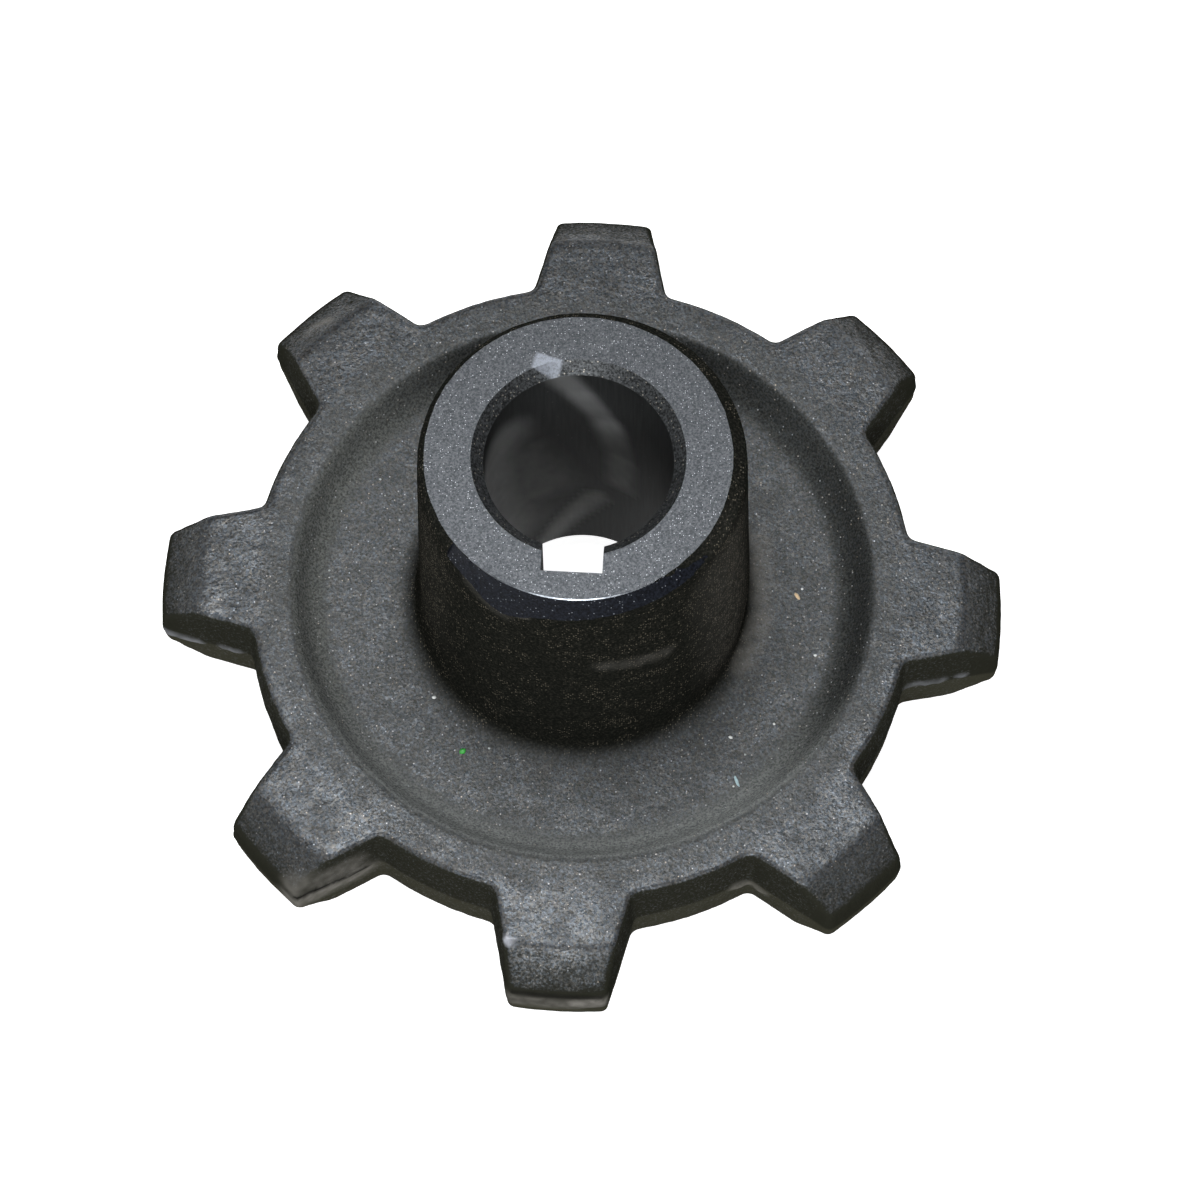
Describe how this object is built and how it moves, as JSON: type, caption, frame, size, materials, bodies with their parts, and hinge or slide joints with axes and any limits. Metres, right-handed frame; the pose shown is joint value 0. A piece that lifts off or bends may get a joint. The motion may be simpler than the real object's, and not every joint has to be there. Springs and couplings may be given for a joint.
{
  "type": "chain sprocket",
  "caption": "Cast iron chain sprocket with bevelled trapezoid teeth, a dished web and a long drafted hub with a keyed bore.",
  "frame": {"origin": "on the axis of the bore, in the plane of the rim's rear face, which the sprocket lies on", "axes": "+Z along the bore towards the nose of the hub, -Y through the keyway and the tooth above it, +X along a tooth"},
  "size_m": [0.118, 0.118, 0.0589],
  "materials": {
    "casting": "dark grey sand-cast skin with fine grain, satin; the nose of the hub and the bore are turned bright"
  },
  "bodies": {
    "root": {"sprocket": "casting"}
  },
  "joints": []
}
